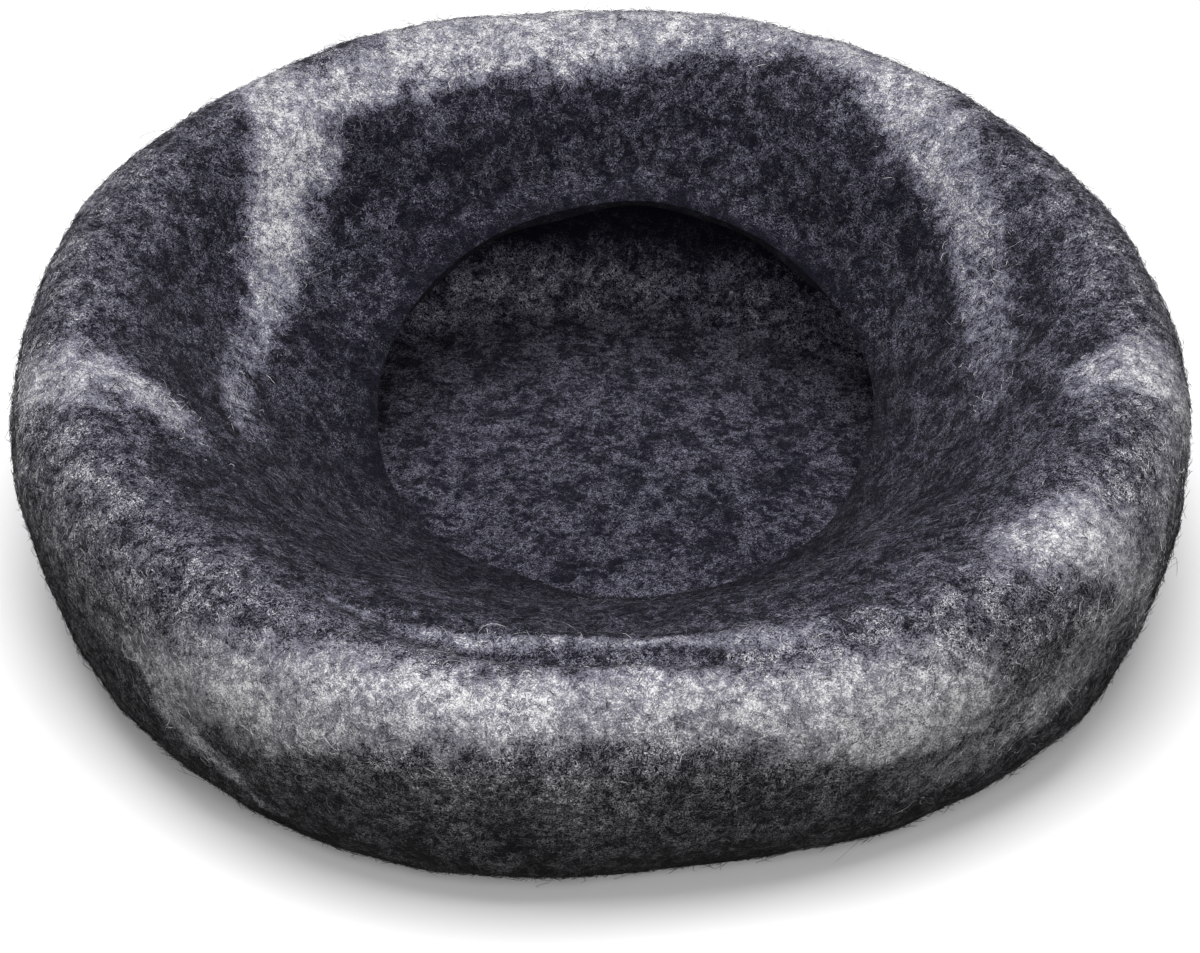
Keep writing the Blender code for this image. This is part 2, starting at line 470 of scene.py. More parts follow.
def formed(angle, place):
    """The felt's seen face: a point for each angle around and each place along the profile."""
    sine, cosine = np.sin(angle), np.cos(angle)
    front = column("front", place) * FRONT_REACH
    back = column("back", place) * BACK_REACH
    z_front = column("z_front", place) * FRONT_HEIGHT
    z_side = column("z_side", place) * SIDE_HEIGHT
    z_back = column("z_back", place) * BACK_HEIGHT
    outward = outline_unevenness(angle, place)
    x = column("aside", place) + (column("across", place) * HALF_WIDTH + outward) * cosine
    y = (back - front) / 2 + ((back + front) / 2 + outward) * sine
    z = z_side + (z_back - z_front) / 2 * sine + ((z_back + z_front) / 2 - z_side) * sine**2
    height = np.maximum(z - crease_drop(angle, place), 0.0)
    return np.stack([x, y, height], axis=-1)


def summed(waves, angle, place):
    return sum(
        wave.size * np.sin(wave.around * angle + wave.along * place + wave.phase)
        for wave in waves
    )


def uneven(angle, place):
    """How far the felt stands off the formed face, which on the base is not at all."""
    lumps = summed(LUMPS, angle, place) * (1 - hump(place - LAST, LUMPS_END))
    return np.clip(place - HEEL, 0, 1) * (summed(WAVES, angle, place) + lumps)


def slopes(angle, place):
    """The face's directions around and along the profile, for a step of one in each."""
    around = formed(angle + NORMAL_STEP, place) - formed(angle - NORMAL_STEP, place)
    along = formed(angle, place + NORMAL_STEP) - formed(angle, place - NORMAL_STEP)
    return around / (2 * NORMAL_STEP), along / (2 * NORMAL_STEP)


def unit(vectors):
    return vectors / np.maximum(np.linalg.norm(vectors, axis=-1, keepdims=True), LEAST_LENGTH)


def felt_points(angle, place):
    """The formed face moved along its own normal by the unevenness, and that normal."""
    normal = unit(np.cross(*slopes(angle, place)))
    return formed(angle, place) + normal * uneven(angle, place)[..., None], normal


def profile_lengths():
    """How long the profile is from the base's middle to each of many places, on average."""
    places = np.linspace(0, LAST, LENGTH_STEPS * LAST + 1)
    angles = np.radians(np.arange(0, 360, LENGTH_DEGREES))
    points = formed(*np.meshgrid(angles, places))
    steps = np.linalg.norm(np.diff(points, axis=0), axis=-1).mean(axis=1)
    return places, np.concatenate([[0.0], np.cumsum(steps)])


PROFILE_PLACES, PROFILE_LENGTHS = profile_lengths()


def run_length(place):
    return np.interp(place, PROFILE_PLACES, PROFILE_LENGTHS)


def ring_reach(place):
    """The section's mean distance from the middle."""
    return (
        column("across", place) * HALF_WIDTH * 2
        + column("front", place) * FRONT_REACH
        + column("back", place) * BACK_REACH
    ) / 4


def smooth_fall(value, inner, outer):
    """One up to inner, nought from outer on, and smooth between."""
    part = np.clip((value - inner) / (outer - inner), 0, 1)
    return 1 - part * part * (3 - 2 * part)


def ragged(angle, run):
    """A slow random unevenness round nought, the same at every call."""
    random = np.random.default_rng(RAGGEDNESS.seed)
    total = np.zeros_like(run)
    for _ in range(RAGGEDNESS.waves):
        around = random.integers(RAGGEDNESS.least_around, RAGGEDNESS.most_around)
        along = random.uniform(-RAGGEDNESS.most_along, RAGGEDNESS.most_along)
        total += np.sin(around * angle + along * run + random.uniform(0, TURN))
    return total * math.sqrt(2 / RAGGEDNESS.waves)


def streak_stretch(start, end, angle, reach, run, ragged_edge):
    """How much wool a streak lays or takes away between two of its points."""
    turn = (end.angle - start.angle + 180) % 360 - 180
    line_x = reach * math.radians(turn)
    line_y = run_length(end.place) - run_length(start.place)
    x = reach * np.radians(angle_between(angle, start.angle))
    y = run - run_length(start.place)
    part = np.clip((x * line_x + y * line_y) / (line_x**2 + line_y**2), 0, 1)
    distance = np.hypot(x - part * line_x, y - part * line_y)
    width = start.half_width + part * (end.half_width - start.half_width)
    strength = start.strength + part * (end.strength - start.strength)
    return strength * smooth_fall(distance / width + ragged_edge, STREAK_FULL, STREAK_GONE)


def pale_share(angle, place):
    """How much pale wool lies at each angle and place, from nought to one."""
    reach, run = ring_reach(place), run_length(place)
    ragged_edge = RAGGEDNESS.share * ragged(angle, run)
    share = np.zeros_like(run)
    for rows in STREAKS.values():
        points = [StreakPoint(*row) for row in rows]
        for start, end in zip(points, points[1:]):
            laid = streak_stretch(start, end, angle, reach, run, ragged_edge)
            share = np.where(laid < 0, share * (1 + laid), np.maximum(share, laid))
    return share


def wool_lay(angle, place):
    """Where each point lies with the profile drawn out straight, for the way the wool drifts."""
    run = run_length(place)
    radius = np.minimum(run, ring_reach(float(CREST)))
    return np.stack([radius * np.cos(angle), radius * np.sin(angle), run], axis=-1)


def at_sections(shares, place):
    return np.interp(place, np.arange(len(SECTIONS)), shares)


def deselect_all():
    if bpy.context.object and bpy.context.object.mode != "OBJECT":
        bpy.ops.object.mode_set(mode="OBJECT")
    bpy.ops.object.select_all(action="DESELECT")


def put_attribute(mesh, name, values):
    values = np.asarray(values, np.float32)
    kind, field = ("FLOAT", "value") if values.ndim == 1 else ("FLOAT_VECTOR", "vector")
    mesh.attributes.new(name, kind, "POINT").data.foreach_set(field, values.ravel())


def finish_piece(piece):
    """Gives a piece its body."""
    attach(piece, "root")


# ---------------------------------------------------------------- materials


class Nodes:
    """Adds nodes to a tree and links them, from values, sockets or nodes."""

    def __init__(self, tree):
        self.tree = tree

    def add(self, kind, settings=None, **inputs):
        node = self.tree.nodes.new(kind)
        for name, value in (settings or {}).items():
            setattr(node, name, value)
        for name, value in inputs.items():
            self.feed(node.inputs[name.replace("_", " ")], value)
        return node

    def feed(self, socket, value):
        if isinstance(value, bpy.types.NodeSocket):
            self.tree.links.new(value, socket)
        else:
            socket.default_value = value

    def maths(self, operation, *values):
        node = self.add("ShaderNodeMath", {"operation": operation})
        for socket, value in zip(node.inputs, values):
            self.feed(socket, value)
        return node.outputs[0]

    def vector_maths(self, operation, *values):
        node = self.add("ShaderNodeVectorMath", {"operation": operation})
        for socket, value in zip(node.inputs, values):
            self.feed(socket, value)
        return node.outputs[0]

    def noise(self, vector, scale, detail=2.0, roughness=0.5, distortion=0.0):
        node = self.add(
            "ShaderNodeTexNoise", Vector=vector, Scale=scale, Detail=detail,
            Roughness=roughness, Distortion=distortion,
        )
        return node.outputs

    def between(self, value, low, high, to_low=0.0, to_high=1.0):
        """Stretches the range from low to high smoothly, and holds what lies outside it."""
        node = self.add(
            "ShaderNodeMapRange", {"interpolation_type": "SMOOTHSTEP"}, Value=value,
            From_Min=low, From_Max=high, To_Min=to_low, To_Max=to_high,
        )
        return node.outputs["Result"]

    def mix(self, factor, first, second):
        node = self.add("ShaderNodeMix", {"data_type": "FLOAT"}, Factor=factor, A=first, B=second)
        return node.outputs["Result"]

    def mix_colours(self, factor, first, second):
        """The node has sockets of the same names for each kind of data, so these go by number."""
        node = self.add("ShaderNodeMix", {"data_type": "RGBA"})
        for number, value in ((0, factor), (6, first), (7, second)):
            self.feed(node.inputs[number], value)
        return node.outputs[2]

    def tufts(self, clots, locks, to_low, to_high):
        """How much the tufts darken or lighten the wool, between two factors."""
        tufts = self.maths("MULTIPLY", clots, CLOT_WEIGHT)
        tufts = self.maths("MULTIPLY_ADD", locks, LOCK_WEIGHT, tufts)
        return self.between(tufts, 0.08, 0.85, to_low, to_high)

    def attribute(self, name, output="Fac"):
        return self.add("ShaderNodeAttribute", {"attribute_name": name}).outputs[output]


def new_group(name, inputs, outputs):
    """A shader node group with named sockets, and the helper that fills it."""
    group = bpy.data.node_groups.new(name, "ShaderNodeTree")
    for label, kind, default in inputs:
        socket = group.interface.new_socket(label, in_out="INPUT", socket_type=kind)
        if default is not None:
            socket.default_value = default
    for label, kind in outputs:
        group.interface.new_socket(label, in_out="OUTPUT", socket_type=kind)
    nodes = Nodes(group)
    return group, nodes, nodes.add("NodeGroupInput").outputs, nodes.add("NodeGroupOutput").inputs


def wool_tint_group():
    """The colour of wool of a tone from charcoal over slate to pale, slowly uneven."""
    group, nodes, given, result = new_group(
        "Wool tint",
        (
            ("Vector", "NodeSocketVector", None),
            ("Tone", "NodeSocketFloat", 0.0),
            ("Coolness", "NodeSocketFloat", 0.0),
            ("Charcoal", "NodeSocketColor", (0.01, 0.01, 0.012, 1.0)),
            ("Slate", "NodeSocketColor", (0.10, 0.10, 0.11, 1.0)),
            ("Pale", "NodeSocketColor", (0.5, 0.5, 0.51, 1.0)),
        ),
        (("Colour", "NodeSocketColor"),),
    )
    slow = nodes.noise(given["Vector"], TINT_SCALE, 2.0)[0]
    tone = nodes.maths("MULTIPLY", given["Tone"], nodes.between(slow, 0.30, 0.70, 0.82, 1.16))
    tinged = []
    for colour, most in ((given["Charcoal"], 1.8), (given["Slate"], 1.26)):
        blue = nodes.mix(given["Coolness"], 1.0, most)
        tinge = nodes.add("ShaderNodeCombineXYZ", X=1.0, Y=0.99, Z=blue).outputs[0]
        tinged.append(nodes.vector_maths("MULTIPLY", colour, tinge))
    dark = nodes.mix_colours(nodes.between(tone, 0.0, SLATE_TONE), *tinged)
    colour = nodes.mix_colours(nodes.between(tone, SLATE_TONE, 1.0), dark, given["Pale"])
    nodes.feed(result["Colour"], colour)
    return group


def clumps_group():
    """Where the wool clumps: clots of a few millimetres, and locks of a centimetre or more."""
    group, nodes, given, result = new_group(
        "Wool clumps",
        (("Vector", "NodeSocketVector", None),),
        (("Clots", "NodeSocketFloat"), ("Locks", "NodeSocketFloat")),
    )
    for name, scale, distortion in (("Clots", CLOT_SCALE, 0.6), ("Locks", LOCK_SCALE, 0.4)):
        clumps = nodes.noise(given["Vector"], scale, 2.0, 0.6, distortion)[0]
        nodes.feed(result[name], nodes.between(clumps, 0.32, 0.68))
    return group


def marled_wool_group():
    """Matted fibres: the tone of the wool from charcoal to pale, and how high it stands."""
    group, nodes, given, result = new_group(
        "Marled wool",
        (
            ("Vector", "NodeSocketVector", None),
            ("Lay", "NodeSocketVector", None),
            ("Clots", "NodeSocketFloat", 0.5),
            ("Locks", "NodeSocketFloat", 0.5),
            ("Pale wool", "NodeSocketFloat", 0.0),
            ("Hair share", "NodeSocketFloat", 1.0),
        ),
        (("Tone", "NodeSocketFloat"), ("Height", "NodeSocketFloat")),
    )
    place, pale = given["Vector"], given["Pale wool"]
    clots, locks = given["Clots"], given["Locks"]
    fine = nodes.between(nodes.noise(place, FINE_SCALE, 2.0, 0.7, 0.5)[0], 0.36, 0.66)

    # Curly single hairs, where a bent noise crosses its middle value, some fainter than others
    bend = nodes.vector_maths("SUBTRACT", nodes.noise(place, BEND_SCALE, 1.0)[1], (0.5, 0.5, 0.5))
    bent = nodes.vector_maths("MULTIPLY_ADD", bend, (BEND_REACH, BEND_REACH, BEND_REACH), place)
    patch = nodes.noise(place, PATCH_SCALE, 1.0)[1]
    patches = nodes.add("ShaderNodeSeparateXYZ", Vector=patch).outputs
    hairs = None
    for index, net in enumerate(HAIR_NETS):
        moved = nodes.vector_maths("ADD", bent, (index * 0.37, index * 0.11, index * 0.23))
        level = nodes.maths("SUBTRACT", nodes.noise(moved, net.scale, 1.0, 0.4)[0], 0.5)
        line = nodes.between(nodes.maths("ABSOLUTE", level), net.width, 0.2 * net.width)
        line = nodes.maths("MULTIPLY", line, nodes.between(patches[index], 0.36, 0.62, 0.30, 1.12))
        hairs = line if hairs is None else nodes.maths("MAXIMUM", hairs, line)

    # The streaks' soft edges, ragged from blots, clots, fine fibres and drifts along the profile
    drawn_out = nodes.vector_maths("MULTIPLY", given["Lay"], (1.0, 1.0, DRIFT_FLATNESS))
    drifts = nodes.between(nodes.noise(drawn_out, DRIFT_SCALE, 2.0, 0.6)[0], 0.34, 0.66)
    blots = nodes.noise(place, BLOT_SCALE, 4.0, 0.65, 0.4)[0]
    unevenness = 0.0
    for part, share in (
        (blots, BLOT_SHARE), (drifts, DRIFT_SHARE), (fine, FINE_SHARE), (clots, CLOT_SHARE)
    ):
        part = nodes.maths("SUBTRACT", part, 0.5)
        unevenness = nodes.maths("MULTIPLY_ADD", part, share, unevenness)
    drawn = nodes.maths("MULTIPLY_ADD", unevenness, nodes.between(pale, 0.0, 0.5, 0.10, 1.0), pale)
    laid = nodes.add("ShaderNodeMapRange", Value=drawn, From_Min=0.10, From_Max=0.90).outputs[0]

    # Light hairs on charcoal wool, and dark ones on pale wool
    strands = nodes.maths("MULTIPLY", hairs, nodes.maths("MULTIPLY_ADD", fine, 0.46, 0.21))
    strands = nodes.maths("MULTIPLY_ADD", nodes.maths("MULTIPLY", fine, fine), 0.04, strands)
    charcoal_tone = nodes.maths("MULTIPLY", strands, nodes.tufts(clots, locks, 0.38, 1.38))
    # The hair share carries the painted light and shade of the section tables.
    charcoal_tone = nodes.maths("MULTIPLY", charcoal_tone, given["Hair share"])
    pale_tone = nodes.mix(clots, 0.58, 0.90)
    pale_tone = nodes.maths("MULTIPLY_ADD", nodes.maths("SUBTRACT", fine, 0.45), 0.26, pale_tone)
    pale_tone = nodes.maths("MULTIPLY_ADD", hairs, -0.41, pale_tone)
    pale_tone = nodes.maths("MULTIPLY", pale_tone, nodes.between(locks, 0.0, 1.0, 0.84, 1.06))
    tone = nodes.mix(laid, charcoal_tone, pale_tone)
    nodes.feed(result["Tone"], nodes.maths("MAXIMUM", tone, 0.0))
    height = nodes.maths("MULTIPLY_ADD", hairs, 0.7, nodes.maths("MULTIPLY", fine, 0.8))
    nodes.feed(result["Height"], nodes.maths("MULTIPLY_ADD", clots, 0.7, height))
    return group


def wool_shader(name, sheen):
    """A material whose Principled shader is set as matt wool, with its helper."""
    material = bpy.data.materials.new(name)
    material.use_nodes = True
    shader = material.node_tree.nodes["Principled BSDF"]
    shader.inputs["Roughness"].default_value = 0.95
    shader.inputs["Specular IOR Level"].default_value = 0.05
    shader.inputs["Sheen Weight"].default_value = sheen
    shader.inputs["Sheen Roughness"].default_value = 0.3
    return material, Nodes(material.node_tree), shader


def tinted_wool(nodes, settings, tint, place, tone, cool):
    return nodes.add(
        "ShaderNodeGroup", {"node_tree": tint}, Vector=place, Tone=tone, Coolness=cool,
        Charcoal=tuple(settings.charcoal), Slate=tuple(settings.slate), Pale=tuple(settings.pale),
    )


def felt_material(side, settings, tint, clumps, marled):
    """Matted felt for the seen or the hidden side, whose attributes say how the wool lies there and
    hold painted light and shade.
    """
    material, nodes, shader = wool_shader(f"felt_{side}", sheen=0.02)
    place = nodes.add("ShaderNodeTexCoord").outputs["Object"]
    clump = nodes.add("ShaderNodeGroup", {"node_tree": clumps}, Vector=place).outputs
    wool = nodes.add(
        "ShaderNodeGroup", {"node_tree": marled}, Vector=place,
        Lay=nodes.attribute("lay", "Vector"), Clots=clump["Clots"], Locks=clump["Locks"],
        Pale_wool=nodes.attribute(f"pale_{side}"), Hair_share=nodes.attribute(f"hair_{side}"),
    ).outputs
    cool = nodes.attribute(f"cool_{side}")
    tinted = tinted_wool(nodes, settings, tint, place, wool["Tone"], cool)
    relief = nodes.add("ShaderNodeBump", Height=wool["Height"], Strength=0.5, Distance=0.0012)
    nodes.feed(shader.inputs["Base Color"], tinted.outputs["Colour"])
    nodes.feed(shader.inputs["Normal"], relief.outputs["Normal"])
    return material


def fuzz_material(settings, tint, clumps):
    """Single fibres, each as light or dark as the clump that it grows from."""
    material, nodes, shader = wool_shader("wool_fuzz", sheen=0.06)
    place = nodes.add("ShaderNodeTexCoord").outputs["Object"]
    clump = nodes.add("ShaderNodeGroup", {"node_tree": clumps}, Vector=place).outputs
    tufts = nodes.tufts(clump["Clots"], clump["Locks"], 0.68, 1.20)
    tone = nodes.maths("MULTIPLY", nodes.attribute("wool_tone"), tufts)
    tinted = tinted_wool(nodes, settings, tint, place, tone, nodes.attribute("cool_seen"))
    nodes.feed(shader.inputs["Base Color"], tinted.outputs["Colour"])
    return material


def floor_material(colour, bounce):
    """A pale floor to the camera, which throws back less light than it shows."""
    material = bpy.data.materials.new("pale_floor")
    material.use_nodes = True
    tree = material.node_tree
    nodes = Nodes(tree)
    shown = tree.nodes["Principled BSDF"]
    shown.inputs["Base Color"].default_value = colour
    shown.inputs["Roughness"].default_value = 0.9
    dimmed = nodes.add("ShaderNodeBsdfDiffuse", Color=(bounce, bounce, bounce, 1.0))
    seen = nodes.add("ShaderNodeLightPath").outputs["Is Camera Ray"]
    both = nodes.add("ShaderNodeMixShader", Fac=seen)
    nodes.feed(both.inputs[1], dimmed.outputs[0])
    nodes.feed(both.inputs[2], shown.outputs[0])
    nodes.feed(tree.nodes["Material Output"].inputs["Surface"], both.outputs[0])
    return material


# ---------------------------------------------------------------- felt


def row_places():
    """The place along the profile of each row of points."""
    places = [
        index + step / section.rows
        for index, section in enumerate(SECTIONS)
        for step in range(section.rows)
    ]
    return np.array(places + [float(LAST)])


def felt_sheet():
    """A flat grid rolled round the sections. Its first row closes at the middle of the base."""
    places = row_places()
    deselect_all()
    bpy.ops.mesh.primitive_grid_add(
        x_subdivisions=COLUMNS, y_subdivisions=len(places) - 1, size=1, location=(0, 0, 0)
    )
    sheet = bpy.context.object
    sheet.name = sheet.data.name = "felt_cover"
    mesh = sheet.data
    flat = np.zeros(len(mesh.vertices) * 3, np.float32)
    mesh.vertices.foreach_get("co", flat)
    flat = flat.reshape(-1, 3)
    angle = (flat[:, 0] + 0.5) * TURN
    place = places[np.rint((flat[:, 1] + 0.5) * (len(places) - 1)).astype(int)]
    points, _ = felt_points(angle, place)
    mesh.vertices.foreach_set("co", points.astype(np.float32).ravel())
    put_attribute(mesh, "lay", wool_lay(angle, place))
    put_attribute(mesh, "pale_seen", pale_share(angle, place))
    put_attribute(mesh, "pale_hidden", np.zeros_like(place))
    # The seen face's hair share, with painted shade at the foot of the wall, in the bowl and at the
    # opening's edge.
    put_attribute(mesh, "hair_seen", at_sections(HAIR_AND_SHADE_SHARE, place))
    # Painted shadow on the right of the hidden face, from the edge of the base on.
    painted_shadow = INSIDE_PAINTED_SHADOW.share * hump(angle_between(angle, INSIDE_PAINTED_SHADOW.angle), INSIDE_PAINTED_SHADOW.spread)
    painted_shadow *= np.clip(place - BASE_EDGE, 0, 1)
    # The hidden face's hair share: painted light at the heel, painted shadow above it and on the
    # right side.
    put_attribute(mesh, "hair_hidden", at_sections(HAIR_LIGHT_AND_SHADE_INSIDE, place) * (1 - painted_shadow))
    put_attribute(mesh, "cool_seen", at_sections(COOL_SHARE, place))
    put_attribute(mesh, "cool_hidden", np.ones_like(place))
    mesh.update()
    bpy.ops.object.mode_set(mode="EDIT")
    bpy.ops.mesh.select_all(action="SELECT")
    bpy.ops.mesh.remove_doubles(threshold=WELD_DISTANCE)
    bpy.ops.mesh.normals_make_consistent(inside=False)
    bpy.ops.object.mode_set(mode="OBJECT")
    return sheet


def thicken(sheet, settings):
    """Gives the felt its thickness on the hidden side and rounds the edge of the opening."""
    wall = sheet.modifiers.new("Felt thickness", "SOLIDIFY")
    wall.thickness = settings.thickness
    wall.offset = -1.0
    wall.use_even_offset = True
    wall.material_offset = 1
    lip = sheet.modifiers.new("Rounded lip", "BEVEL")
    lip.width = settings.lip_rounding
    lip.segments = LIP_SEGMENTS
    lip.limit_method = "ANGLE"
    lip.angle_limit = LIP_LEAST_ANGLE
    for modifier in (wall, lip):
        bpy.ops.object.modifier_apply(modifier=modifier.name)
    bpy.ops.object.shade_smooth()


# ---------------------------------------------------------------- fuzz


def scattered(field, count, random):
    """Angles and places spread evenly over the felt between two places."""
    rows = np.linspace(field.low, field.high, CELL_ROWS + 1)
    turns = np.linspace(0, TURN, CELL_TURNS + 1)
    step_row, step_turn = rows[1] - rows[0], turns[1] - turns[0]
    angle, place = np.meshgrid(turns[:-1] + step_turn / 2, rows[:-1] + step_row / 2)
    area = np.linalg.norm(np.cross(*slopes(angle, place)), axis=-1).ravel()
    cell = random.choice(area.size, count, p=area / area.sum())
    return (
        angle.ravel()[cell] + random.uniform(-0.5, 0.5, count) * step_turn,
        place.ravel()[cell] + random.uniform(-0.5, 0.5, count) * step_row,
    )


def fibre_spines(fibre, angle, place, random):
    """The points along each fibre from its root, and the felt's normals under them."""
    count, steps = fibre.count, fibre.stations - 1
    around, along = slopes(angle, place)
    per_turn, per_place = np.linalg.norm(around, axis=-1), np.linalg.norm(along, axis=-1)
    length = fibre.length * np.exp(random.normal(0, LENGTH_SPREAD, count))
    heading = math.pi / 2 + random.normal(0, HEADING_SPREAD, count)
    heading += math.pi * random.integers(0, 2, count)
    curl = random.normal(0, fibre.curl, count)
    turns, places = [angle], [place]
    for _ in range(steps):
        turns.append(turns[-1] + np.cos(heading) * length / steps / per_turn)
        further = places[-1] + np.sin(heading) * length / steps / per_place
        places.append(np.clip(further, HEEL, LAST - LAST_ROOM))
        heading = heading + curl + random.normal(0, HEADING_JITTER, count)
    points, normals = felt_points(np.array(turns), np.array(places))
    standing = random.random(count) < STANDING_SHARE
    lift = fibre.lift * np.where(standing, STANDING_LIFT, 1.0)
    lift = np.minimum(lift * random.uniform(*LIFT_RANGE, count), MOST_LIFT * length)
    tip = np.where(standing, 1.0, random.uniform(*TIP_RANGE, count))
    part = (np.arange(fibre.stations) / steps)[:, None]
    rise = lift * ((1 - tip) * np.sin(part * math.pi) + tip * part) - ROOT_DEPTH * (part == 0)
    spines = points + normals * rise[..., None]
    spines[..., 2] = np.maximum(spines[..., 2], LEAST_HEIGHT)
    return spines, normals


def fibre_tubes(spines, normals, thickness, random):
    """Each fibre as a closed three-sided thread, pointed at both ends, and its triangles."""
    stations, count, _ = spines.shape
    radius = 0.5 * thickness * random.uniform(*THICKNESS_RANGE, count)
    rings = []
    for station in range(1, stations - 1):
        ahead = unit(spines[station + 1] - spines[station - 1])
        aside = unit(np.cross(ahead, normals[station]))
        above = np.cross(aside, ahead)
        for side in range(FIBRE_SIDES):
            corner = side * TURN / FIBRE_SIDES
            offset = math.cos(corner) * aside + math.sin(corner) * above
            rings.append(spines[station] + offset * radius[:, None])
    corners = np.stack([spines[0], *rings, spines[-1]], axis=1)
    last = corners.shape[1] - 1
    top = last - 1 - FIBRE_SIDES
    triangles = []
    for side in range(FIBRE_SIDES):
        here, there = 1 + side, 1 + (side + 1) % FIBRE_SIDES
        triangles.append((0, here, there))
        for low in range(0, top, FIBRE_SIDES):
            high = low + FIBRE_SIDES
            triangles.append((here + low, here + high, there + high))
            triangles.append((here + low, there + high, there + low))
        triangles.append((here + top, last, there + top))
    starts = np.arange(count)[:, None, None] * corners.shape[1]
    return corners, (np.array(triangles)[None] + starts).reshape(-1, 3)


def fibre_tones(angle, place, random):
    """How pale each fibre is: mostly as the wool under it, and now and then of the other kind."""
    pale = pale_share(angle, place)
    charcoal_tone = CHARCOAL_MOST * random.random(angle.size) ** CHARCOAL_POWER
    # The charcoal fibres take the painted shade of the hair table too.
    charcoal_tone *= at_sections(HAIR_AND_SHADE_SHARE, place)
    pale_tone = random.uniform(*PALE_RANGE, angle.size)
    return np.where(random.random(angle.size) < PALE_FIBRES * pale, pale_tone, charcoal_tone)


def fuzz_piece(field, settings, material, random):
    """All the fibres of one field in one mesh."""
    points, triangles, tones, cools, start = [], [], [], [], 0
    for fibre in FIBRES:
        fibre = fibre._replace(
            length=fibre.length * settings.fuzz_length,
            thickness=fibre.thickness * settings.fuzz_thickness,
        )
        angle, place = scattered(field, fibre.count, random)
        spines, normals = fibre_spines(fibre, angle, place, random)
        corners, faces = fibre_tubes(spines, normals, fibre.thickness, random)
        points.append(corners.reshape(-1, 3))
        triangles.append(faces + start)
        tones.append(np.repeat(fibre_tones(angle, place, random), corners.shape[1]))
        cools.append(np.repeat(at_sections(COOL_SHARE, place), corners.shape[1]))
        start += len(points[-1])
    mesh = bpy.data.meshes.new(field.name)
    mesh.from_pydata(np.concatenate(points).tolist(), [], np.concatenate(triangles).tolist())
    put_attribute(mesh, "wool_tone", np.concatenate(tones))
    put_attribute(mesh, "cool_seen", np.concatenate(cools))
    mesh.shade_smooth()
    piece = bpy.data.objects.new(field.name, mesh)
    bpy.context.scene.collection.objects.link(piece)
    mesh.materials.append(material)
    finish_piece(piece)
    return piece


# ---------------------------------------------------------------- settings, operators and panel


class FeltSettings(bpy.types.PropertyGroup):
    thickness: FloatProperty(
        name="Felt thickness", description="How thick the matted wool is", default=0.007,
        min=0.003, max=0.012, unit="LENGTH", precision=4,
    )
    lip_rounding: FloatProperty(
        name="Lip rounding", description="Radius of the rounded edge of the opening",
        default=0.0033, min=0.0, max=0.0034, unit="LENGTH", precision=4,
    )
    charcoal: FloatVectorProperty(
        name="Charcoal wool", description="Colour of the dark wool", subtype="COLOR", size=4,
        min=0.0, max=1.0, default=(0.0045, 0.0045, 0.0048, 1.0),
    )
    slate: FloatVectorProperty(
        name="Slate wool", description="Colour of the lighter hairs in the dark wool",
        subtype="COLOR", size=4, min=0.0, max=1.0, default=(0.15, 0.15, 0.154, 1.0),
    )
    pale: FloatVectorProperty(
        name="Pale wool", description="Colour of the pale streaks", subtype="COLOR", size=4,
        min=0.0, max=1.0, default=(0.60, 0.60, 0.603, 1.0),
    )
    fuzz_length: FloatProperty(
        name="Fuzz length", description="Length of the fuzz, as a share of its usual length",
        default=1.0, min=0.3, max=1.5, subtype="FACTOR",
    )
    fuzz_thickness: FloatProperty(
        name="Fuzz thickness", description="Thickness of the fuzz, as a share of its usual one",
        default=1.0, min=0.3, max=3.0, subtype="FACTOR",
    )
    seed: IntProperty(name="Seed", description="Sets how the fuzz is scattered", default=7, min=0)


class StageSettings(bpy.types.PropertyGroup):
    floor_size: FloatProperty(
        name="Floor size", description="Side of the square floor", default=40.0, min=2.0,
        unit="LENGTH",
    )
    floor_colour: FloatVectorProperty(
        name="Floor colour", description="Colour of the floor", subtype="COLOR", size=4,
        min=0.0, max=1.0, default=(0.75, 0.75, 0.755, 1.0),
    )
    floor_bounce: FloatProperty(
        name="Floor bounce", description="Share of the light that the floor throws back up",
        default=0.25, min=0.0, max=1.0, subtype="FACTOR",
    )
    lamp_power: FloatProperty(
        name="Lamp power", description="Power of the large soft lamp overhead, in watts",
        default=53.0, min=0.0,
    )
    front_power: FloatProperty(
        name="Front lamp power", description="Power of the soft lamp at the front, in watts",
        default=23.0, min=0.0,
    )
    sky: FloatProperty(
        name="Sky", description="Strength of the light from all round", default=0.36, min=0.0,
    )
    camera_distance: FloatProperty(
        name="Camera distance", description="Distance from the camera to its target",
        default=1.9, min=0.5, unit="LENGTH",
    )
    camera_elevation: FloatProperty(
        name="Camera elevation", description="Angle of the camera above the floor",
        default=math.radians(37.5), subtype="ANGLE",
    )


class CATCAVE_OT_felt(bpy.types.Operator):
    """Makes the felt shell, from its base over the rim to the opening, and the fuzz on it"""

    bl_idname = "cat_cave.felt"
    bl_label = "Felt shell and fuzz"

    def execute(self, context):
        settings = context.scene.cat_cave_felt
        tint, clumps, marled = wool_tint_group(), clumps_group(), marled_wool_group()
        sheet = felt_sheet()
        for side in ("seen", "hidden"):
            sheet.data.materials.append(felt_material(side, settings, tint, clumps, marled))
        thicken(sheet, settings)
        finish_piece(sheet)
        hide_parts("felt_shell")
        material = fuzz_material(settings, tint, clumps)
        random = np.random.default_rng(settings.seed)
        fuzz = [fuzz_piece(field, settings, material, random) for field in FUZZ_FIELDS]
        return {"FINISHED"}


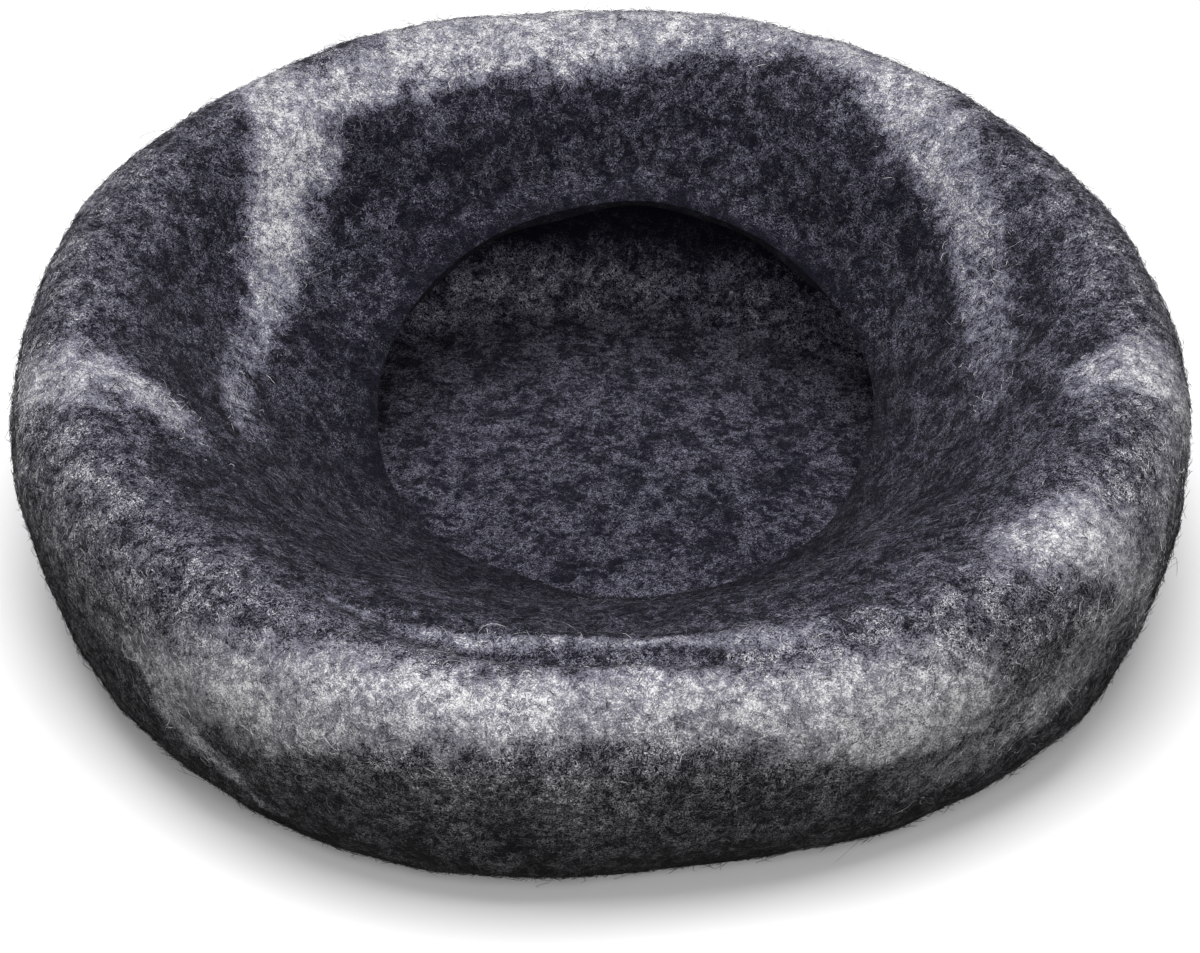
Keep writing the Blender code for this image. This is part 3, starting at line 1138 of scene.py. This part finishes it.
class CATCAVE_OT_stage(bpy.types.Operator):
    """Makes the floor, the lamps, the sky and the camera"""

    bl_idname = "cat_cave.stage"
    bl_label = "Stage"

    def execute(self, context):
        settings = context.scene.cat_cave_stage
        deselect_all()
        bpy.ops.mesh.primitive_plane_add(size=settings.floor_size, location=(0, 0, 0))
        floor = context.object
        floor.name = "floor"
        floor.data.materials.append(floor_material(settings.floor_colour, settings.floor_bounce))
        for row in LAMPS:
            bpy.ops.object.light_add(type="AREA", location=row.place)
            lamp = context.object
            lamp.name = row.name
            lamp.data.energy = getattr(settings, row.power)
            lamp.data.shape = "DISK"
            lamp.data.size = row.width
            lamp.rotation_euler = self.towards_target(lamp.location)
        self.light_sky(context.scene, settings.sky)
        tilt = settings.camera_elevation
        place = TARGET + settings.camera_distance * Vector((0, -math.cos(tilt), math.sin(tilt)))
        bpy.ops.object.camera_add(location=place)
        camera = context.object
        camera.rotation_euler = self.towards_target(place)
        camera.data.angle = 2 * math.atan(VIEW_WIDTH / 2 / settings.camera_distance)
        context.scene.camera = camera
        context.scene.view_settings.view_transform = "Standard"
        return {"FINISHED"}

    @staticmethod
    def towards_target(place):
        return (TARGET - place).to_track_quat("-Z", "Y").to_euler()

    @staticmethod
    def light_sky(scene, strength):
        """A white sky to the camera, and a dimmer one to what it lights."""
        scene.world = bpy.data.worlds.new("soft_sky")
        scene.world.use_nodes = True
        nodes = Nodes(scene.world.node_tree)
        dim = scene.world.node_tree.nodes["Background"]
        dim.inputs["Color"].default_value = WHITE
        dim.inputs["Strength"].default_value = strength
        white = nodes.add("ShaderNodeBackground", Color=WHITE, Strength=1.0)
        seen = nodes.add("ShaderNodeLightPath").outputs["Is Camera Ray"]
        both = nodes.add("ShaderNodeMixShader", Fac=seen)
        nodes.feed(both.inputs[1], dim.outputs[0])
        nodes.feed(both.inputs[2], white.outputs[0])
        nodes.feed(scene.world.node_tree.nodes["World Output"].inputs["Surface"], both.outputs[0])


class CATCAVE_PT_panel(bpy.types.Panel):
    bl_label = "Cat cave"
    bl_idname = "CATCAVE_PT_panel"
    bl_space_type = "VIEW_3D"
    bl_region_type = "UI"
    bl_category = "Cat cave"

    def draw(self, context):
        for operator, settings in (
            (CATCAVE_OT_felt, context.scene.cat_cave_felt),
            (CATCAVE_OT_stage, context.scene.cat_cave_stage),
        ):
            box = self.layout.box()
            box.operator(operator.bl_idname)
            for name in settings.__annotations__:
                box.prop(settings, name)


CLASSES = (FeltSettings, StageSettings, CATCAVE_OT_felt, CATCAVE_OT_stage, CATCAVE_PT_panel)


def register():
    for item in CLASSES:
        bpy.utils.register_class(item)
    bpy.types.Scene.cat_cave_felt = PointerProperty(type=FeltSettings)
    bpy.types.Scene.cat_cave_stage = PointerProperty(type=StageSettings)


def unregister():
    del bpy.types.Scene.cat_cave_stage
    del bpy.types.Scene.cat_cave_felt
    for item in reversed(CLASSES):
        bpy.utils.unregister_class(item)


def main():
    register()
    bpy.ops.cat_cave.felt()
    bpy.ops.cat_cave.stage()


if __name__ == "__main__":
    main()
